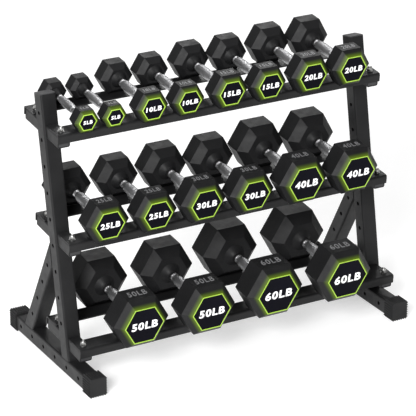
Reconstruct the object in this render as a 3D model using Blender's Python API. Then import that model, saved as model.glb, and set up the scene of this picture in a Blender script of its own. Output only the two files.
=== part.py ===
"""Three-tier dumbbell rack with nine pairs of hexagonal dumbbells.

The frame is metres, +Z up and +X along the rails. The origin is on the floor, under the
middle of the whole object's bounding box, and the user stands on the -Y side.
"""

import math

import bmesh
import bpy
from mathutils import Matrix, Vector

# Square tube of the side frames
TUBE = 0.045
TUBE_WALL = 0.002
TUBE_CORNER = 0.0045
SIDE_X = 0.483
GAP = 0.0003

# Base beams and their rubber feet
ORIGIN_Y = -0.0854
BEAM_FRONT = -0.152
BEAM_REAR = 0.347
BEAM_UNDERSIDE = 0.0046
BEAM_TOP = BEAM_UNDERSIDE + TUBE
FOOT_FRONT = (-0.1566, -0.1140)
FOOT_REAR = (0.3120, 0.3519)
FOOT_WIDTH = 0.054
FOOT_HEIGHT = 0.0565
RIB_PITCH = 0.0070
RIB_WIDTH = 0.0042
RIB_SLOPE = 0.0009
RIB_DEPTH = 0.0028
RIBS_PER_SIDE = 7

# Posts and rear braces, as lean from the vertical and length along the centre line
POST_FOOT_HEIGHT = 0.0477
POST_LEAN = math.radians(10)
POST_LENGTH = 0.742
POST_CAP_FLANGE = 0.003
POST_CAP_PLUG = 0.012
BRACE_FOOT_Y = 0.2327
BRACE_LEAN = math.radians(-29.4)

# Adjustment holes, drilled right through from side to side
HOLE_RADIUS = 0.006
HOLE_SIDES = 10
DRILL_MARGIN = 0.01
BEAM_HOLES = [0.2844 - 0.07285 * k for k in range(6)]
BEAM_HOLE_HEIGHT = 0.027
POST_HOLES = [0.1035 + 0.07306 * k for k in range(9)]
BRACE_HOLES = [0.0597 + 0.0732 * k for k in range(4)]

# Tiers: Y and Z of the rail's top surface at the arm's front end
TIERS = {
    "bottom": (-0.0875, 0.1130),
    "middle": (-0.0361, 0.4045),
    "top": (0.0153, 0.6960),
}
TIER_TILT = math.radians(5)

# Arms that carry the rails
ARM = 0.036
ARM_X = 0.482
ARM_FRONT = 0.0015
ARM_REAR = 0.2009

# Folded angle rails
RAIL_HALF_LENGTH = 0.502
RAIL_THICKNESS = 0.0036
RAIL_BEND = 0.006
RAIL_LIP = 0.025
RAIL_FRONT_FACE = -0.0042
RAIL_REAR_FACE = 0.2060
FRONT_RAIL_DEPTH = 0.0517
REAR_RAIL_DEPTH = 0.0582
BEND_STEPS = 3

# Bolts that hold the rails to the arms, each through the arm's upper wall only
BOLT_ALONG = {"front": 0.020, "rear": 0.173}
BOLT_RADIUS = 0.005
BOLT_HOLE_RADIUS = 0.0053
BOLT_WASHER_RADIUS = 0.0085
BOLT_WASHER_HEIGHT = 0.0018
BOLT_HEX_FLATS = 0.0145
BOLT_HEX_HEIGHT = 0.008
BOLT_DOME_HEIGHT = 0.006
BOLT_DOME_INSET = 0.0007
BOLT_DOME_STEPS = ((0.6, 0.8), (1.0, 0.35))
BOLT_LENGTH = 0.030

# Dumbbells by weight in pounds, in millimetres: head across corners, face ring across
# corners, head length, overall length, handle diameter
DUMBBELLS = {
    5: (72.7, 53.1, 50.7, 242.8, 23.0),
    10: (100.1, 70.2, 64.5, 270.2, 26.5),
    15: (112.5, 77.4, 70.0, 287.0, 27.0),
    20: (123.4, 85.5, 75.4, 295.5, 27.5),
    25: (130.3, 88.2, 80.9, 307.7, 28.0),
    30: (139.9, 94.5, 86.4, 313.5, 28.0),
    40: (153.6, 109.8, 96.0, 330.0, 28.5),
    50: (167.3, 118.8, 105.6, 346.0, 29.0),
    60: (178.3, 128.7, 112.5, 361.0, 30.0),
}
FACE_CHAMFER_SLOPE = 0.46
INNER_RING = 0.66
INNER_CHAMFER_SLOPE = 0.42
BOSS_FLARE = 0.12
BOSS_LENGTH = 0.012
BOSS_LIP = 0.0012

# Places on the tiers, in millimetres: weight, side, X, front face along the tier
PLACES = {
    "top": [
        (5, "left", -423.0, -20.3),
        (5, "right", -342.2, -21.7),
        (10, "left", -237.8, -38.7),
        (10, "right", -128.2, -39.9),
        (15, "left", -4.0, -47.4),
        (15, "right", 116.7, -48.3),
        (20, "left", 249.1, -51.8),
        (20, "right", 379.0, -52.5),
    ],
    "middle": [
        (25, "left", -402.5, -45.4),
        (25, "right", -258.7, -47.0),
        (30, "left", -115.2, -53.6),
        (30, "right", 32.5, -59.8),
        (40, "left", 190.9, -67.7),
        (40, "right", 356.8, -70.7),
    ],
    "bottom": [
        (50, "left", -341.3, -65.3),
        (50, "right", -142.8, -79.2),
        (60, "left", 67.9, -78.8),
        (60, "right", 289.9, -82.3),
    ],
}

SIDES = {"left": -1, "right": 1}
SMOOTH_UNDER = math.radians(40)
HEX_CORNER_TO_FLAT = math.cos(math.radians(30))
LOOP_POINTS = 12

MM = 0.001
DOWN_THE_X_AXIS = Matrix.Rotation(math.radians(90), 4, "Y")
DOWN_THE_Y_AXIS = Matrix.Rotation(math.radians(90), 4, "X")
UPRIGHT = Matrix.Identity(4)
ALONG_THE_TIER = math.radians(90)


def clear_scene():
    for obj in list(bpy.data.objects):
        bpy.data.objects.remove(obj, do_unlink=True)


def make_material(name, colour, roughness, metallic):
    material = bpy.data.materials.new(name)
    material.use_nodes = True
    shader = material.node_tree.nodes["Principled BSDF"]
    shader.inputs["Base Color"].default_value = (*colour, 1.0)
    shader.inputs["Roughness"].default_value = roughness
    shader.inputs["Metallic"].default_value = metallic
    return material


def make_empty(name, parent=None, location=(0, 0, 0), tilt=0.0):
    empty = bpy.data.objects.new(name, None)
    bpy.context.collection.objects.link(empty)
    empty.parent = parent
    empty.location = location
    empty.rotation_euler = (tilt, 0, 0)
    return empty


def make_object(name, mesh, parent, location, lean=0.0, material=None):
    """The object leans back from its parent's +Z by the given angle."""
    obj = bpy.data.objects.new(name, mesh)
    bpy.context.collection.objects.link(obj)
    obj.parent = parent
    obj.location = location
    obj.rotation_euler = (-lean, 0, 0)
    if material:
        obj.data.materials.clear()
        obj.data.materials.append(material)
    return obj


def finish_mesh(name, bm):
    bmesh.ops.recalc_face_normals(bm, faces=bm.faces)
    mesh = bpy.data.meshes.new(name)
    bm.to_mesh(mesh)
    bm.free()
    mesh.shade_smooth()
    mesh.set_sharp_from_angle(angle=SMOOTH_UNDER)
    return mesh


def rounded_rectangle(width, height, radius, steps=2, centre=(0.0, 0.0)):
    points = []
    corners = ((1, 1, 0), (-1, 1, 90), (-1, -1, 180), (1, -1, 270))
    for sign_x, sign_y, start in corners:
        corner_x = centre[0] + sign_x * (width / 2 - radius)
        corner_y = centre[1] + sign_y * (height / 2 - radius)
        for step in range(steps + 1):
            angle = math.radians(start + 90 * step / steps)
            points.append((corner_x + radius * math.cos(angle), corner_y + radius * math.sin(angle)))
    return points


def bridge(bm, first, second):
    count = len(first)
    for i in range(count):
        j = (i + 1) % count
        bm.faces.new((first[i], first[j], second[j], second[i]))


def loops_mesh(name, loops):
    """A closed skin over loops of the same number of points, with flat ends."""
    bm = bmesh.new()
    rings = [[bm.verts.new(point) for point in loop] for loop in loops]
    for first, second in zip(rings, rings[1:]):
        bridge(bm, first, second)
    bm.faces.new(rings[0])
    bm.faces.new(rings[-1])
    return finish_mesh(name, bm)


def tube_mesh(name, size, location, lean, start, end):
    """Square tube along local +Z, cut by two planes given in the parent's space."""
    place = Matrix.Translation(location) @ Matrix.Rotation(-lean, 4, "X")
    direction = place.to_3x3() @ Vector((0, 0, 1))
    bm = bmesh.new()

    def ring(profile, plane):
        point, normal = (Vector(part) for part in plane)
        verts = []
        for x, y in profile:
            foot = place @ Vector((x, y, 0))
            along = (point - foot).dot(normal) / direction.dot(normal)
            verts.append(bm.verts.new((x, y, along)))
        return verts

    outside = rounded_rectangle(size, size, TUBE_CORNER)
    hollow = size - 2 * TUBE_WALL
    inside = rounded_rectangle(hollow, hollow, TUBE_CORNER - TUBE_WALL)
    outer = [ring(outside, start), ring(outside, end)]
    inner = [ring(inside, start), ring(inside, end)]
    bridge(bm, outer[0], outer[1])
    bridge(bm, inner[0], inner[1])
    bridge(bm, outer[0], inner[0])
    bridge(bm, outer[1], inner[1])
    return finish_mesh(name, bm)


def drill(obj, centres, radius, depth, turn=UPRIGHT):
    """Cut round holes at the centres, in the object's own space."""
    bm = bmesh.new()
    for centre in centres:
        bmesh.ops.create_cone(
            bm,
            cap_ends=True,
            segments=HOLE_SIDES,
            radius1=radius,
            radius2=radius,
            depth=depth,
            matrix=Matrix.Translation(centre) @ turn,
        )
    name = obj.name + "_drill"
    cutter = make_object(name, finish_mesh(name, bm), obj, (0, 0, 0))
    cutter.hide_render = True
    cutter.display_type = "WIRE"
    holes = obj.modifiers.new("holes", "BOOLEAN")
    holes.operation = "DIFFERENCE"
    holes.solver = "EXACT"
    holes.object = cutter


def ribbed_side(length, standoff, turn):
    """Rib tops and grooves along one side of a foot, turned to face outwards."""
    points = []
    for k in range(RIBS_PER_SIDE):
        middle = (k - (RIBS_PER_SIDE - 1) / 2) * RIB_PITCH * length / FOOT_WIDTH
        half = RIB_WIDTH / 2
        points += [
            (middle - half, -standoff + RIB_DEPTH),
            (middle - half + RIB_SLOPE, -standoff),
            (middle + half - RIB_SLOPE, -standoff),
            (middle + half, -standoff + RIB_DEPTH),
        ]
    cosine, sine = math.cos(turn), math.sin(turn)
    return [(x * cosine - y * sine, x * sine + y * cosine) for x, y in points]


def foot_outline():
    """The ribbed section of a foot about its own centre."""
    outline = []
    for quarter in range(4):
        length, across = (FOOT_WIDTH, FOOT_HEIGHT) if quarter % 2 == 0 else (FOOT_HEIGHT, FOOT_WIDTH)
        outline += ribbed_side(length, across / 2, math.radians(90 * quarter))
    return outline


def foot_object(name, parent, x, reach, closed_at_front, material):
    """Sleeve over the end of a beam, closed at its outer end."""
    length = reach[1] - reach[0]
    beam_end = BEAM_FRONT - GAP - reach[0] if closed_at_front else reach[1] - BEAM_REAR - GAP
    pocket_size = TUBE + 2 * GAP
    pocket_centre = BEAM_UNDERSIDE + TUBE / 2 - FOOT_HEIGHT / 2
    pocket = rounded_rectangle(pocket_size, pocket_size, TUBE_CORNER, centre=(0, pocket_centre))
    sign = 1 if closed_at_front else -1
    bm = bmesh.new()

    def ring(points, along):
        return [bm.verts.new((px, sign * along, pz)) for px, pz in points]

    outline = foot_outline()
    closed = ring(outline, 0)
    opened = ring(outline, length)
    mouth = ring(pocket, length)
    bottom = ring(pocket, beam_end)
    bridge(bm, closed, opened)
    bm.faces.new(closed)
    bridge(bm, mouth, bottom)
    bm.faces.new(bottom)
    rim = [
        bm.edges.get((loop[i], loop[(i + 1) % len(loop)]))
        for loop in (opened, mouth)
        for i in range(len(loop))
    ]
    bmesh.ops.triangle_fill(bm, edges=rim, use_beauty=True)
    mesh = finish_mesh(name, bm)
    start = reach[0] if closed_at_front else reach[1]
    return make_object(name, mesh, parent, (x, start, FOOT_HEIGHT / 2), material=material)


def rail_mesh(name, depth, sign):
    """Angle section folded down at its outer edge; sign is -1 for a lip at the front."""
    bend_centre = (depth - RAIL_BEND, -RAIL_BEND)
    section = [(0.0, 0.0)]
    for step in range(BEND_STEPS + 1):
        angle = math.radians(90 - 90 * step / BEND_STEPS)
        section.append(
            (bend_centre[0] + RAIL_BEND * math.cos(angle), bend_centre[1] + RAIL_BEND * math.sin(angle))
        )
    section += [(depth, -RAIL_LIP), (depth - RAIL_THICKNESS, -RAIL_LIP)]
    inner_bend = RAIL_BEND - RAIL_THICKNESS
    for step in range(BEND_STEPS + 1):
        angle = math.radians(90 * step / BEND_STEPS)
        section.append(
            (bend_centre[0] + inner_bend * math.cos(angle), bend_centre[1] + inner_bend * math.sin(angle))
        )
    section.append((0.0, -RAIL_THICKNESS))
    loops = [[(x, sign * y, z) for y, z in section] for x in (-RAIL_HALF_LENGTH, RAIL_HALF_LENGTH)]
    return loops_mesh(name, loops)


def circle_loop(radius):
    turns = [math.radians(30 * k) for k in range(LOOP_POINTS)]
    return [(radius * math.cos(turn), radius * math.sin(turn)) for turn in turns]


def hexagon_loop(corner_radius):
    """Corners on the first axis, with a point in the middle of each side."""
    reaches = [corner_radius if k % 2 == 0 else corner_radius * HEX_CORNER_TO_FLAT for k in range(LOOP_POINTS)]
    turns = [math.radians(30 * k) for k in range(LOOP_POINTS)]
    return [(reach * math.cos(turn), reach * math.sin(turn)) for reach, turn in zip(reaches, turns)]


def bolt_mesh(name):
    """Cap-headed bolt along local +Z; the washer's underside is at zero."""
    hex_top = BOLT_WASHER_HEIGHT + BOLT_HEX_HEIGHT
    hex_radius = BOLT_HEX_FLATS / 2 / HEX_CORNER_TO_FLAT
    dome_radius = BOLT_HEX_FLATS / 2 - BOLT_DOME_INSET
    loops = [
        (-BOLT_LENGTH, circle_loop(BOLT_RADIUS)),
        (0.0, circle_loop(BOLT_RADIUS)),
        (0.0, circle_loop(BOLT_WASHER_RADIUS)),
        (BOLT_WASHER_HEIGHT, circle_loop(BOLT_WASHER_RADIUS)),
        (BOLT_WASHER_HEIGHT, hexagon_loop(hex_radius)),
        (hex_top, hexagon_loop(hex_radius)),
        (hex_top, circle_loop(dome_radius)),
    ]
    for rise, share in BOLT_DOME_STEPS:
        loops.append((hex_top + rise * BOLT_DOME_HEIGHT, circle_loop(share * dome_radius)))
    return loops_mesh(name, [[(x, y, z) for x, y in loop] for z, loop in loops])


def post_cap_mesh(name):
    """Plug in the tube's end under a flange flush with its outside; zero is the tube's cut."""
    plug = TUBE - 2 * TUBE_WALL - 2 * GAP
    plug_profile = rounded_rectangle(plug, plug, TUBE_CORNER - TUBE_WALL)
    flange_profile = rounded_rectangle(TUBE, TUBE, TUBE_CORNER)
    top = TUBE - POST_CAP_FLANGE
    top_profile = rounded_rectangle(top, top, TUBE_CORNER - POST_CAP_FLANGE / 2)
    loops = [
        (-POST_CAP_PLUG, plug_profile),
        (GAP, plug_profile),
        (GAP, flange_profile),
        (POST_CAP_FLANGE / 2, flange_profile),
        (POST_CAP_FLANGE, top_profile),
    ]
    return loops_mesh(name, [[(x, y, z) for x, y in loop] for z, loop in loops])


def dumbbell_mesh(name, weight):
    """Two hexagonal heads and their handle along local Y, flats down, about the middle."""
    corners, ring, head, length, handle = (MM * size for size in DUMBBELLS[weight])
    face_chamfer = FACE_CHAMFER_SLOPE * (corners - ring)
    inner_ring = INNER_RING * corners
    inner_chamfer = INNER_CHAMFER_SLOPE * (corners - inner_ring)
    boss = handle + BOSS_FLARE * corners
    half = [
        (0.0, hexagon_loop(ring / 2)),
        (face_chamfer, hexagon_loop(corners / 2)),
        (head - inner_chamfer, hexagon_loop(corners / 2)),
        (head, hexagon_loop(inner_ring / 2)),
        (head, circle_loop(boss / 2)),
        (head + BOSS_LENGTH, circle_loop(handle / 2 + BOSS_LIP)),
        (head + BOSS_LENGTH, circle_loop(handle / 2)),
    ]
    front = [(along - length / 2, loop) for along, loop in half]
    rear = [(-along, loop) for along, loop in reversed(front)]
    return loops_mesh(name, [[(x, y, z) for x, z in loop] for y, loop in front + rear])


def build_side(rack, side, paint):
    """One side frame's beam, post and brace."""
    x = SIDES[side] * SIDE_X
    upright = (0, 0, 1)
    back = (0, 1, 0)
    through = TUBE + DRILL_MARGIN

    beam_at = (x, BEAM_FRONT, BEAM_UNDERSIDE + TUBE / 2)
    name = f"base_beam_{side}"
    lying = math.radians(90)
    mesh = tube_mesh(name, TUBE, beam_at, lying, ((0, BEAM_FRONT, 0), back), ((0, BEAM_REAR, 0), back))
    beam = make_object(name, mesh, rack, beam_at, lying, paint)
    drop = beam_at[2] - BEAM_HOLE_HEIGHT
    drill(beam, [(0, drop, y - BEAM_FRONT) for y in BEAM_HOLES], HOLE_RADIUS, through, DOWN_THE_X_AXIS)

    post_at = (x, 0, POST_FOOT_HEIGHT)
    post_axis = Vector((0, math.sin(POST_LEAN), math.cos(POST_LEAN)))
    post_face = Vector((0, math.cos(POST_LEAN), -math.sin(POST_LEAN)))
    tube_length = POST_LENGTH - POST_CAP_FLANGE
    floor_cut = ((0, 0, BEAM_TOP + GAP), upright)
    top_cut = (Vector(post_at) + tube_length * post_axis, post_axis)
    name = f"post_{side}"
    mesh = tube_mesh(name, TUBE, post_at, POST_LEAN, floor_cut, top_cut)
    post = make_object(name, mesh, rack, post_at, POST_LEAN, paint)
    drill(post, [(0, 0, along) for along in POST_HOLES], HOLE_RADIUS, through, DOWN_THE_X_AXIS)

    brace_at = (x, BRACE_FOOT_Y, BEAM_TOP)
    post_rear = (Vector(post_at) + (TUBE / 2 + GAP) * post_face, post_face)
    name = f"brace_{side}"
    mesh = tube_mesh(name, TUBE, brace_at, BRACE_LEAN, floor_cut, post_rear)
    brace = make_object(name, mesh, rack, brace_at, BRACE_LEAN, paint)
    drill(brace, [(0, 0, along) for along in BRACE_HOLES], HOLE_RADIUS, through, DOWN_THE_X_AXIS)
    return post, tube_length


def post_plane(tier, offset):
    """The post's side plane, offset from its centre line, in the tier's own space."""
    lean = POST_LEAN + TIER_TILT
    normal = Vector((0, math.cos(lean), -math.sin(lean)))
    y, z = TIERS[tier]
    foot = Vector((0, -y, POST_FOOT_HEIGHT - z))
    foot.rotate(Matrix.Rotation(-TIER_TILT, 3, "X"))
    return foot + offset * normal, normal


def build_tier(rack, tier, materials):
    """Arms, rails, bolts and dumbbells of one tier, in its own tilted space."""
    y, z = TIERS[tier]
    frame = make_empty(f"tier_{tier}", rack, (0, y, z), TIER_TILT)
    across = (0, 1, 0)
    arm_height = -RAIL_THICKNESS - GAP - ARM / 2
    reach = TUBE / 2 + GAP
    cuts = {
        "front": (((0, ARM_FRONT, 0), across), post_plane(tier, -reach)),
        "rear": (post_plane(tier, reach), ((0, ARM_REAR, 0), across)),
    }
    rails = {
        "front": (FRONT_RAIL_DEPTH, -1, RAIL_FRONT_FACE + FRONT_RAIL_DEPTH),
        "rear": (REAR_RAIL_DEPTH, 1, RAIL_REAR_FACE - REAR_RAIL_DEPTH),
    }
    for end, (start, stop) in cuts.items():
        bolt_y = BOLT_ALONG[end]
        for side, sign in SIDES.items():
            arm_at = (sign * ARM_X, 0, arm_height)
            name = f"arm_{end}_{tier}_{side}"
            mesh = tube_mesh(name, ARM, arm_at, ALONG_THE_TIER, start, stop)
            arm = make_object(name, mesh, frame, arm_at, ALONG_THE_TIER, materials["paint"])
            upper_wall = (0, -ARM / 2, bolt_y)
            drill(arm, [upper_wall], BOLT_HOLE_RADIUS, DRILL_MARGIN, DOWN_THE_Y_AXIS)

            name = f"bolt_{end}_{tier}_{side}"
            bolt_at = (sign * ARM_X, bolt_y, GAP)
            make_object(name, bolt_mesh(name), frame, bolt_at, material=materials["zinc"])

        depth, sign, edge = rails[end]
        name = f"rail_{end}_{tier}"
        mesh = rail_mesh(name, depth, sign)
        rail = make_object(name, mesh, frame, (0, edge, 0), material=materials["paint"])
        holes = [(side * ARM_X, bolt_y - edge, 0) for side in SIDES.values()]
        drill(rail, holes, BOLT_HOLE_RADIUS, 2 * DRILL_MARGIN)

    for weight, place, x, front in PLACES[tier]:
        corners, _, _, length, _ = (MM * size for size in DUMBBELLS[weight])
        name = f"dumbbell_{weight}lb_{place}"
        centre = (MM * x, MM * front + length / 2, corners / 2 * HEX_CORNER_TO_FLAT + GAP)
        make_object(name, dumbbell_mesh(name, weight), frame, centre, material=materials["rubber"])


def build():
    clear_scene()
    materials = {
        "paint": make_material("powder_coat", (0.035, 0.035, 0.038), 0.5, 0.0),
        "foot": make_material("foot_rubber", (0.03, 0.03, 0.03), 0.8, 0.0),
        "plastic": make_material("cap_plastic", (0.05, 0.05, 0.05), 0.45, 0.0),
        "zinc": make_material("zinc", (0.72, 0.72, 0.7), 0.3, 1.0),
        "rubber": make_material("dumbbell_rubber", (0.025, 0.025, 0.027), 0.55, 0.0),
    }
    rack = make_empty("rack", location=(0, ORIGIN_Y, 0))
    for side, sign in SIDES.items():
        post, tube_length = build_side(rack, side, materials["paint"])
        name = f"post_cap_{side}"
        make_object(name, post_cap_mesh(name), post, (0, 0, tube_length), material=materials["plastic"])
        x = sign * SIDE_X
        foot_object(f"foot_front_{side}", rack, x, FOOT_FRONT, True, materials["foot"])
        foot_object(f"foot_rear_{side}", rack, x, FOOT_REAR, False, materials["foot"])
    for tier in TIERS:
        build_tier(rack, tier, materials)


build()
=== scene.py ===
"""Looks of the three-tier dumbbell rack: finishes on the frame, and detailed dumbbells."""

import math

import bmesh
import bpy
from mathutils import Matrix, Vector


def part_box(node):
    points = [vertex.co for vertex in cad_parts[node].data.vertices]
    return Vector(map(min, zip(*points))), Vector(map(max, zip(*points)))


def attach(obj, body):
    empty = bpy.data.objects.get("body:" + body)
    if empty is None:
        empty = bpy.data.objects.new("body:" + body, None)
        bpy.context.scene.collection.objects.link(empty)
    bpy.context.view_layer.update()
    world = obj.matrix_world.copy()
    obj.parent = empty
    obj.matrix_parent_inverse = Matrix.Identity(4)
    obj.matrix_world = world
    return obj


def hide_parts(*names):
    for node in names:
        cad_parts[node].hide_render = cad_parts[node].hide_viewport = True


MM = 0.001
COS30 = math.cos(math.radians(30))

# Tiers and arms, as in the CAD source
ARM = 36 * MM
ARM_WALL = 2 * MM
ARM_X = 482 * MM
ARM_FRONT = 1.5 * MM
ARM_REAR = 200.9 * MM
RAIL_THICKNESS = 3.6 * MM
TIER_TILT = math.radians(5)
ORIGIN_Y = -85.4 * MM
TIERS = {
    "bottom": (-87.5 * MM, 113.0 * MM),
    "middle": (-36.1 * MM, 404.5 * MM),
    "top": (15.3 * MM, 696.0 * MM),
}
BOLT_ALONG = {"front": 20 * MM, "rear": 173 * MM}
BOLT_GAP = 0.3 * MM
BOLT_RADIUS = 5 * MM
BOLT_HEX_FLATS = 14.5 * MM
BOLT_LENGTH = 30 * MM
BOLT_WASHER = 1.8 * MM
BOLT_HEX_TOP = 9.2 * MM
BOLT_DOME_BASE = 9.8 * MM
BOLT_DOME_HEIGHT = 6 * MM
DOME_STEPS = 6
SIDES = {"left": -1, "right": 1}

# Dumbbells by pounds, in mm: head across corners, ring across corners, head length,
# overall length, handle diameter
DUMBBELLS = {
    5: (72.7, 53.1, 50.7, 242.8, 23.0),
    10: (100.1, 70.2, 64.5, 270.2, 26.5),
    15: (112.5, 77.4, 70.0, 287.0, 27.0),
    20: (123.4, 85.5, 75.4, 295.5, 27.5),
    25: (130.3, 88.2, 80.9, 307.7, 28.0),
    30: (139.9, 94.5, 86.4, 313.5, 28.0),
    40: (153.6, 109.8, 96.0, 330.0, 28.5),
    50: (167.3, 118.8, 105.6, 346.0, 29.0),
    60: (178.3, 128.7, 112.5, 361.0, 30.0),
}
FACE_CHAMFER_SLOPE = 0.46
INNER_RING = 0.66
INNER_CHAMFER_SLOPE = 0.42
BOSS_FLARE = 0.19
BOSS_LENGTH = 19 * MM
NECK_INSET = 1.6 * MM
BOSS_STEPS = 8
BOSS_CURVE = 1.5

# Face details
RING_WIDTH = 2.5 * MM
PLATE_SINK = 0.7 * MM
SEAT_SINK = 1.7 * MM
GLOW_REACH = 15 * MM
GLOW_STEPS = 5
TEXT_WIDTH = 0.665
SMALL_TEXT_WIDTH = 0.50
TEXT_HEIGHT = 0.195
TEXT_LIFT = 0.4 * MM
TEXT_SHEAR = 0.07
TEXT_BOLD = 0.032
NUMBER_WIDTH = 0.34
NUMBER_HEIGHT = 0.145
NUMBER_LIFT = 0.5 * MM
NUMBER_SHEAR = 0.12
NUMBER_BOLD = 0.012

# Knurl
KNURL_TEETH = 26
KNURL_PITCH = 4.4 * MM

# Loops hold this many points on each of a hexagon's sides
SIDE_POINTS = 8

scene = bpy.context.scene
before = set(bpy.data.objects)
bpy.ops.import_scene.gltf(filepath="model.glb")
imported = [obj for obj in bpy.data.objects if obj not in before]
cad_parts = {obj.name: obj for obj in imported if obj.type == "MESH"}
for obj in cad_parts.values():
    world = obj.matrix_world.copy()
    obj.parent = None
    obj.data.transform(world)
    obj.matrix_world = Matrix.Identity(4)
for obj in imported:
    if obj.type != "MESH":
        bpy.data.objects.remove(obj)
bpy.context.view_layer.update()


# ---------------------------------------------------------------- materials


class Nodes:
    """A material's node tree, with short calls for adding and linking nodes."""

    def __init__(self, name, **constants):
        self.material = bpy.data.materials.new(name)
        self.material.use_nodes = True
        self.tree = self.material.node_tree
        self.shader = self.tree.nodes["Principled BSDF"]
        for socket, value in constants.items():
            self.shader.inputs[socket.replace("_", " ")].default_value = value

    def add(self, kind, settings=(), **inputs):
        node = self.tree.nodes.new("ShaderNode" + kind)
        for key, value in dict(settings).items():
            setattr(node, key, value)
        for key, value in inputs.items():
            self.feed(node.inputs[key.replace("_", " ")], value)
        return node

    def feed(self, socket, value):
        if isinstance(value, bpy.types.NodeSocket):
            self.tree.links.new(value, socket)
        else:
            socket.default_value = value

    def maths(self, operation, *values):
        node = self.add("Math", {"operation": operation})
        for socket, value in zip(node.inputs, values):
            self.feed(socket, value)
        return node.outputs[0]

    def noise(self, vector, scale, detail=3.0, roughness=0.5):
        node = self.add("TexNoise", Vector=vector, Scale=scale, Detail=detail, Roughness=roughness)
        return node.outputs["Fac"]

    def remap(self, value, low, high, to_low, to_high):
        node = self.add("MapRange")
        for socket, item in zip(node.inputs, (value, low, high, to_low, to_high)):
            self.feed(socket, item)
        return node.outputs[0]

    def mix(self, factor, first, second):
        node = self.add("Mix", {"data_type": "RGBA"})
        self.feed(node.inputs[0], factor)
        self.feed(node.inputs[6], first)
        self.feed(node.inputs[7], second)
        return node.outputs[2]

    def bump(self, height, distance, strength=1.0, normal=None):
        node = self.add("Bump", Height=height, Distance=distance, Strength=strength)
        if normal:
            self.feed(node.inputs["Normal"], normal)
        return node.outputs[0]


def coated(name, dark, light, rough, grain, depth, metal=0.0, specular=0.3):
    """Painted, moulded or plated surface: mottled colour, uneven gloss and a fine grain."""
    m = Nodes(name, Specular_IOR_Level=specular, Metallic=metal)
    place = m.add("TexCoord").outputs["Object"]
    cloud = m.noise(place, 9.0, 4.0, 0.6)
    colour = m.mix(m.remap(cloud, 0.35, 0.65, 0.0, 1.0), (*dark, 1), (*light, 1))
    m.feed(m.shader.inputs["Base Color"], colour)
    smears = m.noise(place, 38.0, 3.0, 0.6)
    m.feed(m.shader.inputs["Roughness"], m.remap(smears, 0.3, 0.7, rough[0], rough[1]))
    m.feed(m.shader.inputs["Normal"], m.bump(m.noise(place, grain, 2.0), depth, 0.6))
    return m.material


def rubber_material():
    """Black rubber with a painted green glow (green base colour and emission) where the "glow"
    attribute is high.
    """
    m = Nodes("dumbbell_rubber", Emission_Strength=1.0, Specular_IOR_Level=0.19)
    place = m.add("TexCoord").outputs["Object"]
    cloud = m.noise(place, 14.0, 4.0, 0.6)
    blend = m.remap(cloud, 0.3, 0.7, 0.0, 1.0)
    body = m.mix(blend, (0.0055, 0.0055, 0.006, 1), (0.009, 0.009, 0.0095, 1))
    glow = m.add("Attribute", {"attribute_name": "glow"}).outputs["Fac"]
    # Painted glow: green base colour and emission, strongest where "glow" is 1 at the ring's edge
    lit = m.maths("POWER", glow, 1.35)
    m.feed(m.shader.inputs["Base Color"], m.mix(lit, body, (0.045, 0.075, 0.003, 1)))
    m.feed(m.shader.inputs["Emission Color"], m.mix(lit, (0, 0, 0, 1), (0.060, 0.100, 0.0005, 1)))
    smears = m.noise(place, 45.0, 3.0, 0.6)
    m.feed(m.shader.inputs["Roughness"], m.remap(smears, 0.3, 0.7, 0.44, 0.58))
    grain = m.bump(m.noise(place, 900.0, 2.0), 0.00012, 0.7)
    m.feed(m.shader.inputs["Normal"], m.bump(m.noise(place, 210.0, 3.0), 0.0005, 0.5, grain))
    return m.material


def chrome_material(name, knurled):
    """Dulled chrome, plain or cut with a diamond knurl about local Y."""
    m = Nodes(name, Metallic=1.0)
    place = m.add("TexCoord").outputs["Object"]
    cloud = m.noise(place, 30.0, 3.0, 0.6)
    bright = (0.62, 0.62, 0.63, 1)
    dull = (0.46, 0.46, 0.47, 1)
    height = m.bump(m.noise(place, 300.0, 2.0), 0.00003, 0.3)
    if knurled:
        split = m.add("SeparateXYZ", Vector=place)
        angle = m.maths("ARCTAN2", split.outputs[0], split.outputs[2])
        turn = m.maths("MULTIPLY", angle, KNURL_TEETH / math.tau)
        along = m.maths("MULTIPLY", split.outputs[1], 1 / KNURL_PITCH)
        cuts = [m.maths("PINGPONG", m.maths(way, turn, along), 0.5) for way in ("ADD", "SUBTRACT")]
        diamond = m.maths("MULTIPLY", m.maths("MINIMUM", *cuts), 2.0)
        height = m.bump(diamond, 0.0005, 0.55, height)
        # Painted shade: the knurl's cuts are coloured darker than its diamonds, on top of their bump
        shade = m.remap(diamond, 0.0, 0.5, 0.0, 1.0)
        worn = m.mix(cloud, (0.44, 0.44, 0.45, 1), (0.60, 0.60, 0.61, 1))
        m.feed(m.shader.inputs["Base Color"], m.mix(shade, (0.20, 0.20, 0.205, 1), worn))
        m.feed(m.shader.inputs["Roughness"], m.remap(cloud, 0.3, 0.7, 0.34, 0.44))
    else:
        m.feed(m.shader.inputs["Base Color"], m.mix(cloud, dull, bright))
        m.feed(m.shader.inputs["Roughness"], m.remap(cloud, 0.3, 0.7, 0.26, 0.36))
    m.feed(m.shader.inputs["Normal"], height)
    return m.material


def bright_material(name, colour, glow, rough):
    """Printed ring or lettering, with a painted glow (emission) that keeps it bright in any light,
    and a faint mottle.
    """
    m = Nodes(name, Emission_Strength=glow)
    place = m.add("TexCoord").outputs["Object"]
    cloud = m.noise(place, 120.0, 3.0, 0.6)
    worn = tuple(0.86 * c for c in colour)
    shade = m.mix(m.remap(cloud, 0.35, 0.65, 0.0, 1.0), (*worn, 1), (*colour, 1))
    m.feed(m.shader.inputs["Base Color"], shade)
    m.feed(m.shader.inputs["Emission Color"], shade)
    m.feed(m.shader.inputs["Roughness"], m.remap(cloud, 0.3, 0.7, rough, rough + 0.12))
    m.feed(m.shader.inputs["Normal"], m.bump(m.noise(place, 700.0), 0.00005, 0.4))
    return m.material


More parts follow.
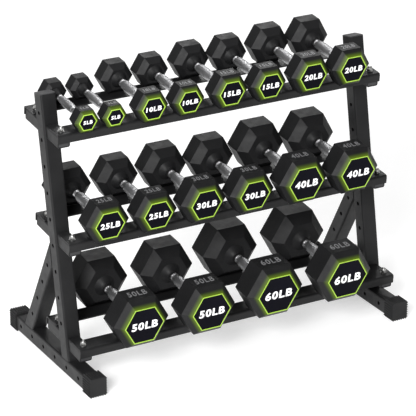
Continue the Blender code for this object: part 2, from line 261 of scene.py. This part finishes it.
powder = coated(
    "powder_coat", (0.008, 0.008, 0.0085), (0.013, 0.013, 0.0135), (0.38, 0.50), 700.0, 0.00012,
    specular=0.23,
)
foot_rubber = coated(
    "foot_rubber", (0.011, 0.011, 0.0115), (0.017, 0.017, 0.0175), (0.56, 0.70), 500.0, 0.0002,
    specular=0.25,
)
cap_plastic = coated(
    "cap_plastic", (0.035, 0.035, 0.037), (0.048, 0.048, 0.050), (0.38, 0.50), 420.0, 0.0001,
)
zinc = coated("zinc", (0.42, 0.42, 0.41), (0.52, 0.52, 0.51), (0.26, 0.38), 500.0, 0.00005, metal=1.0)
face_plate = coated(
    "face_plate", (0.0015, 0.0015, 0.004), (0.0025, 0.0025, 0.006), (0.42, 0.54), 600.0, 0.00006,
    specular=0.06,
)
rubber = rubber_material()
chrome = chrome_material("handle_chrome", False)
knurl = chrome_material("handle_knurl", True)
# Painted glow: the ring and the lettering are lit by their own emission
ring_green = bright_material("ring_green", (0.30, 0.48, 0.045), 0.40, 0.45)
mark_white = bright_material("mark_white", (0.86, 0.86, 0.86), 0.35, 0.40)
mark_grey = bright_material("mark_grey", (0.16, 0.16, 0.165), 0.10, 0.45)

FINISHES = {
    "powder_coat": powder,
    "foot_rubber": foot_rubber,
    "cap_plastic": cap_plastic,
    "zinc": zinc,
    "dumbbell_rubber": rubber,
}


def slot_of(node):
    if node.startswith("foot_"):
        return "foot_rubber"
    if node.startswith("post_cap_"):
        return "cap_plastic"
    if node.startswith("bolt_"):
        return "zinc"
    if node.startswith("dumbbell_"):
        return "dumbbell_rubber"
    return "powder_coat"


for node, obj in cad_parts.items():
    material = FINISHES[slot_of(node)]
    if obj.data.materials:
        for index in range(len(obj.data.materials)):
            obj.data.materials[index] = material
    else:
        obj.data.materials.append(material)


# ---------------------------------------------------------------- geometry


def hexagon(radius):
    """Points round a hexagon with corners on local X, SIDE_POINTS to a side."""
    turns = [math.radians(60 * k) for k in range(6)]
    corners = [(radius * math.cos(a), radius * math.sin(a)) for a in turns]
    points = []
    for k in range(6):
        (x0, z0), (x1, z1) = corners[k], corners[(k + 1) % 6]
        for step in range(SIDE_POINTS):
            t = step / SIDE_POINTS
            points.append((x0 + t * (x1 - x0), z0 + t * (z1 - z0)))
    return points


def circle(radius):
    """Points round a circle, at the same turns as a hexagon's."""
    turns = [math.atan2(z, x) for x, z in hexagon(1.0)]
    return [(radius * math.cos(a), radius * math.sin(a)) for a in turns]


def lathe(
    name, loops, materials, faces=None, glow=None, bevel=0.0, caps=True, segments=3, limit=15
):
    """Mesh through loops of (along, points), one closed body.

    faces gives each band's material and glow each loop's value. Without caps, the last loop
    joins the first.
    """
    mesh = bpy.data.meshes.new(name)
    bm = bmesh.new()
    layer = bm.verts.layers.float.new("glow") if glow else None
    rows = []
    for index, (along, points) in enumerate(loops):
        row = [bm.verts.new((x, along, z)) for x, z in points]
        if layer:
            for vert in row:
                vert[layer] = glow[index]
        rows.append(row)
    count = len(rows[0])
    for band, (first, second) in enumerate(zip(rows, rows[1:])):
        for k in range(count):
            after = (k + 1) % count
            face = bm.faces.new((first[k], first[after], second[after], second[k]))
            face.material_index = faces[band] if faces else 0
            face.smooth = True
    if caps:
        bm.faces.new(rows[0])
        bm.faces.new(list(reversed(rows[-1])))
    else:
        for k in range(count):
            after = (k + 1) % count
            bm.faces.new((rows[-1][k], rows[-1][after], rows[0][after], rows[0][k]))
    bmesh.ops.recalc_face_normals(bm, faces=bm.faces)
    bm.to_mesh(mesh)
    bm.free()
    for material in materials:
        mesh.materials.append(material)
    mesh["bevel"] = (bevel, segments, limit)
    return mesh


def place_piece(name, mesh, matrix, body):
    """Object for the mesh, with its bevel, riding the body."""
    obj = bpy.data.objects.new(name, mesh)
    scene.collection.objects.link(obj)
    obj.matrix_world = matrix
    bevel, segments, limit = mesh.get("bevel", (0.0, 0, 0))
    if bevel:
        modifier = obj.modifiers.new("Edges", "BEVEL")
        modifier.width = bevel
        modifier.segments = int(segments)
        modifier.limit_method = "ANGLE"
        modifier.angle_limit = math.radians(limit)
        modifier.harden_normals = True
    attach(obj, body)
    return obj


def both_ends(mesh, name):
    """The mesh and its copy turned end for end about local Z, as one mesh."""
    bm = bmesh.new()
    bm.from_mesh(mesh)
    other = bmesh.ops.duplicate(bm, geom=bm.verts[:] + bm.edges[:] + bm.faces[:])["geom"]
    verts = [item for item in other if isinstance(item, bmesh.types.BMVert)]
    bmesh.ops.rotate(bm, verts=verts, cent=(0, 0, 0), matrix=Matrix.Rotation(math.pi, 3, "Z"))
    made = bpy.data.meshes.new(name)
    bm.to_mesh(made)
    bm.free()
    for material in mesh.materials:
        made.materials.append(material)
    if "bevel" in mesh:
        made["bevel"] = tuple(mesh["bevel"])
    bpy.data.meshes.remove(mesh)
    made.name = name
    return made


def head_mesh(weight):
    """Front head with its chamfers, glow and boss, in the dumbbell's own space."""
    corners, ring, head, length, handle = (MM * size for size in DUMBBELLS[weight])
    front = -length / 2
    chamfer = FACE_CHAMFER_SLOPE * (corners - ring)
    inner_ring = INNER_RING * corners
    inner_chamfer = INNER_CHAMFER_SLOPE * (corners - inner_ring)
    boss = (handle + BOSS_FLARE * corners) / 2
    neck = handle / 2 - NECK_INSET
    loops = [(front + SEAT_SINK, hexagon(ring / 2 - 1 * MM)), (front + 0.4 * MM, hexagon(ring / 2))]
    # Painted glow: 1 at the ring, fading to 0 across the chamfer over GLOW_REACH
    glow = [0.0, 1.0]
    slope = math.hypot(chamfer, (corners - ring) / 2 * COS30)
    for step in range(1, GLOW_STEPS + 1):
        t = min(step * GLOW_REACH / GLOW_STEPS / slope, 0.9)
        loops.append((front + t * chamfer, hexagon(ring / 2 + t * (corners - ring) / 2)))
        glow.append(1.0 - step / GLOW_STEPS)
    body = [
        (front + chamfer, hexagon(corners / 2)),
        (front + head - inner_chamfer, hexagon(corners / 2)),
        (front + head, hexagon(inner_ring / 2)),
    ]
    for step in range(BOSS_STEPS + 1):
        t = step / BOSS_STEPS
        radius = neck + (boss - neck) * (1 - t) ** BOSS_CURVE
        body.append((front + head + BOSS_LENGTH * t, circle(radius)))
    body.append((front + head + BOSS_LENGTH - 3 * MM, circle(handle / 2 - 3 * MM)))
    loops += body
    glow += [0.0] * len(body)
    width = 1.2 * MM + 0.018 * corners
    return lathe(f"heads_{weight}", loops, [rubber], glow=glow, bevel=0.7 * width, limit=24)


def ring_mesh(weight):
    """Green hexagonal ring let into the front face."""
    _, ring, _, length, _ = (MM * size for size in DUMBBELLS[weight])
    front = -length / 2
    outer, inner = ring / 2, ring / 2 - RING_WIDTH / COS30
    loops = [
        (front + 1.4 * MM, hexagon(outer - 0.3 * MM)),
        (front + 0.5 * MM, hexagon(outer + 0.15 * MM)),
        (front, hexagon(outer - 0.5 * MM)),
        (front, hexagon(inner + 0.3 * MM)),
        (front + 0.4 * MM, hexagon(inner)),
        (front + 1.4 * MM, hexagon(inner)),
    ]
    return lathe(f"ring_{weight}", loops, [ring_green], caps=False)


def plate_mesh(weight):
    """Black plate inside the ring."""
    _, ring, _, length, _ = (MM * size for size in DUMBBELLS[weight])
    front = -length / 2
    radius = ring / 2 - RING_WIDTH / COS30 + 0.2 * MM
    loops = [
        (front + SEAT_SINK - 0.1 * MM, hexagon(radius)),
        (front + PLATE_SINK, hexagon(radius)),
    ]
    return lathe(f"plate_{weight}", loops, [face_plate])


def handle_mesh(weight):
    """Handle from boss to boss: slim necks with a bead, and a knurled grip."""
    corners, _, head, length, handle = (MM * size for size in DUMBBELLS[weight])
    reach = length / 2 - head
    r = handle / 2
    band = BOSS_LENGTH + (22 * MM if weight >= 25 else 15 * MM)
    # Distance from the head, radius, and 1 where it is knurled
    half = [
        (BOSS_LENGTH - 4 * MM, 0.80 * r, 0),
        (BOSS_LENGTH + 4 * MM, 0.76 * r, 0),
        (BOSS_LENGTH + 6 * MM, 0.86 * r, 0),
        (BOSS_LENGTH + 8 * MM, 0.86 * r, 0),
        (BOSS_LENGTH + 9 * MM, 0.76 * r, 0),
        (band - 2 * MM, 0.76 * r, 0),
        (band, 0.84 * r, 0),
        (band + 2 * MM, 0.94 * r, 1),
        (band + 4 * MM, 0.98 * r, 1),
        (0.85 * reach, 1.06 * r, 1),
    ]
    profile = [(along - reach, radius, kind) for along, radius, kind in half]
    profile += [(-along, radius, kind) for along, radius, kind in reversed(profile)]
    loops = [(along, circle(radius)) for along, radius, _ in profile]
    kinds = [min(a[2], b[2]) for a, b in zip(profile, profile[1:])]
    return lathe(f"handle_{weight}", loops, [chrome, knurl], faces=kinds)


def text_mesh(name, words, width, height, lift, shear, bold, material):
    """Raised lettering centred on the origin in local XY, facing +Z."""
    curve = bpy.data.curves.new(name, "FONT")
    curve.body = words
    curve.align_x = "CENTER"
    curve.align_y = "CENTER"
    curve.shear = shear
    curve.offset = bold
    curve.extrude = 0.01
    curve.resolution_u = 3
    curve.space_character = 1.15
    obj = bpy.data.objects.new(name, curve)
    scene.collection.objects.link(obj)
    bpy.context.view_layer.update()
    graph = bpy.context.evaluated_depsgraph_get()
    mesh = bpy.data.meshes.new_from_object(obj.evaluated_get(graph))
    bpy.data.objects.remove(obj)
    xs = [v.co.x for v in mesh.vertices]
    ys = [v.co.y for v in mesh.vertices]
    zs = [v.co.z for v in mesh.vertices]
    wide = width / (max(xs) - min(xs))
    tall = height / (max(ys) - min(ys))
    middle = Vector(((max(xs) + min(xs)) / 2, (max(ys) + min(ys)) / 2, min(zs)))
    for vert in mesh.vertices:
        x, y, z = vert.co - middle
        vert.co = (x * wide, y * tall, z / (max(zs) - min(zs)) * lift)
    mesh.materials.clear()
    mesh.materials.append(material)
    mesh.name = name
    return mesh


def face_text_mesh(weight):
    """White weight on the plates of both faces."""
    _, ring, _, length, _ = (MM * size for size in DUMBBELLS[weight])
    width = TEXT_WIDTH if weight > 5 else SMALL_TEXT_WIDTH
    mesh = text_mesh(
        f"label_{weight}", f"{weight}LB", width * ring, TEXT_HEIGHT * ring,
        TEXT_LIFT, TEXT_SHEAR, TEXT_BOLD, mark_white,
    )
    spot = Matrix.Translation((0, -length / 2 + PLATE_SINK, 0))
    mesh.transform(spot @ Matrix.Rotation(math.radians(90), 4, "X"))
    return both_ends(mesh, f"labels_{weight}")


def number_mesh(weight):
    """Grey weight on the top of the front head."""
    corners, ring, head, length, _ = (MM * size for size in DUMBBELLS[weight])
    mesh = text_mesh(
        f"number_{weight}", f"{weight}LB", NUMBER_WIDTH * corners, NUMBER_HEIGHT * corners,
        NUMBER_LIFT, NUMBER_SHEAR, NUMBER_BOLD, mark_grey,
    )
    chamfers = FACE_CHAMFER_SLOPE * (corners - ring)
    chamfers -= INNER_CHAMFER_SLOPE * (1 - INNER_RING) * corners
    spot = (0, -length / 2 + (head + chamfers) / 2, corners / 2 * COS30 - 0.1 * MM)
    mesh.transform(Matrix.Translation(spot))
    return mesh


def make_dumbbells():
    """Six visible pieces for each dumbbell, in place of its CAD node."""
    for weight in DUMBBELLS:
        heads = both_ends(head_mesh(weight), f"heads_{weight}")
        rings = both_ends(ring_mesh(weight), f"rings_{weight}")
        plates = both_ends(plate_mesh(weight), f"plates_{weight}")
        handle = handle_mesh(weight)
        labels = face_text_mesh(weight)
        number = number_mesh(weight)
        for side in SIDES:
            node = f"dumbbell_{weight}lb_{side}"
            low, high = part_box(node)
            at = Matrix.Translation((low + high) / 2) @ Matrix.Rotation(TIER_TILT, 4, "X")
            heads_piece = place_piece(f"{node}_heads", heads, at, node)
            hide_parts(node)
            place_piece(f"{node}_rings", rings, at, node)
            place_piece(f"{node}_plates", plates, at, node)
            place_piece(f"{node}_handle", handle, at, node)
            place_piece(f"{node}_labels", labels, at, node)
            place_piece(f"{node}_number", number, at, node)


def make_fittings():
    """Cap-headed bolts in the rails, and plugs in the arms' open ends."""
    washer = BOLT_HEX_FLATS / 2 + 1.25 * MM
    hex_radius = BOLT_HEX_FLATS / 2 / COS30
    dome = BOLT_HEX_FLATS / 2 - 0.6 * MM
    bolt_loops = [
        (-BOLT_LENGTH, circle(BOLT_RADIUS)),
        (0.0, circle(BOLT_RADIUS)),
        (0.0, circle(washer)),
        (BOLT_WASHER, circle(washer)),
        (BOLT_WASHER, hexagon(hex_radius)),
        (BOLT_HEX_TOP, hexagon(hex_radius)),
        (BOLT_DOME_BASE, circle(dome)),
    ]
    for step in range(1, DOME_STEPS):
        turn = math.radians(90 * step / DOME_STEPS)
        along = BOLT_DOME_BASE + BOLT_DOME_HEIGHT * math.sin(turn)
        bolt_loops.append((along, circle(dome * math.cos(turn))))
    bolt = lathe("bolt", bolt_loops, [zinc], bevel=0.3 * MM, segments=2, limit=35)
    inside = ARM / 2 - ARM_WALL - 0.2 * MM
    square = [(-inside, -inside), (inside, -inside), (inside, inside), (-inside, inside)]
    small = [(0.93 * x, 0.93 * z) for x, z in square]
    plug = lathe("plug", [(8 * MM, square), (1.2 * MM, square), (0.4 * MM, small)], [cap_plastic])
    plug["bevel"] = (2.0 * MM, 3, 50)
    for tier, (y, z) in TIERS.items():
        space = Matrix.Translation((0, ORIGIN_Y + y, z)) @ Matrix.Rotation(TIER_TILT, 4, "X")
        middle = -RAIL_THICKNESS - 0.3 * MM - ARM / 2
        for side, sign in SIDES.items():
            for end, along in BOLT_ALONG.items():
                head = Matrix.Translation((sign * ARM_X, along, BOLT_GAP))
                at = space @ head @ Matrix.Rotation(math.radians(90), 4, "X")
                piece = place_piece(f"bolt_head_{end}_{tier}_{side}", bolt, at, "rack")
                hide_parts(f"bolt_{end}_{tier}_{side}")
            front = space @ Matrix.Translation((sign * ARM_X, ARM_FRONT, middle))
            place_piece(f"plug_front_{tier}_{side}", plug, front, "rack")
            rear = space @ Matrix.Translation((sign * ARM_X, ARM_REAR, middle))
            rear = rear @ Matrix.Rotation(math.pi, 4, "Z")
            place_piece(f"plug_rear_{tier}_{side}", plug, rear, "rack")


make_dumbbells()
make_fittings()


# ---------------------------------------------------------------- studio


def area_light(name, spot, target, size, power):
    data = bpy.data.lights.new(name, "AREA")
    data.shape = "RECTANGLE"
    data.size, data.size_y = size
    data.energy = power
    obj = bpy.data.objects.new(name, data)
    obj.location = spot
    obj.rotation_euler = (Vector(target) - Vector(spot)).to_track_quat("-Z", "Y").to_euler()
    scene.collection.objects.link(obj)


def make_studio():
    """Pale floor, soft lights and the camera."""
    bm = bmesh.new()
    bmesh.ops.create_grid(bm, x_segments=1, y_segments=1, size=30)
    mesh = bpy.data.meshes.new("floor")
    bm.to_mesh(mesh)
    bm.free()
    floor = bpy.data.objects.new("floor", mesh)
    scene.collection.objects.link(floor)
    m = Nodes("floor", Roughness=0.9, Emission_Color=(1, 1, 1, 1), Emission_Strength=0.50)
    m.shader.inputs["Base Color"].default_value = (0.62, 0.62, 0.62, 1)
    mesh.materials.append(m.material)

    world = bpy.data.worlds.new("studio")
    scene.world = world
    world.use_nodes = True
    world.node_tree.nodes["Background"].inputs["Color"].default_value = (1, 1, 1, 1)
    world.node_tree.nodes["Background"].inputs["Strength"].default_value = 0.30

    area_light("key", (-4.0, -3.6, 3.3), (0, 0, 0.7), (2.2, 2.0), 510)
    area_light("top", (0.4, 0.6, 4.6), (0, 0, 0.3), (3.0, 3.0), 70)
    area_light("back", (2.4, 3.9, 3.6), (0, 0.2, 0.5), (1.8, 1.4), 55)

    camera = bpy.data.objects.new("camera", bpy.data.cameras.new("camera"))
    camera.location = (-2.8673, -5.1100, 2.8592)
    camera.rotation_euler = (math.radians(66.9), 0, math.radians(-29.2))
    camera.data.lens = 197
    camera.data.sensor_width = 36
    scene.collection.objects.link(camera)
    scene.camera = camera
    scene.view_settings.view_transform = "Standard"


make_studio()
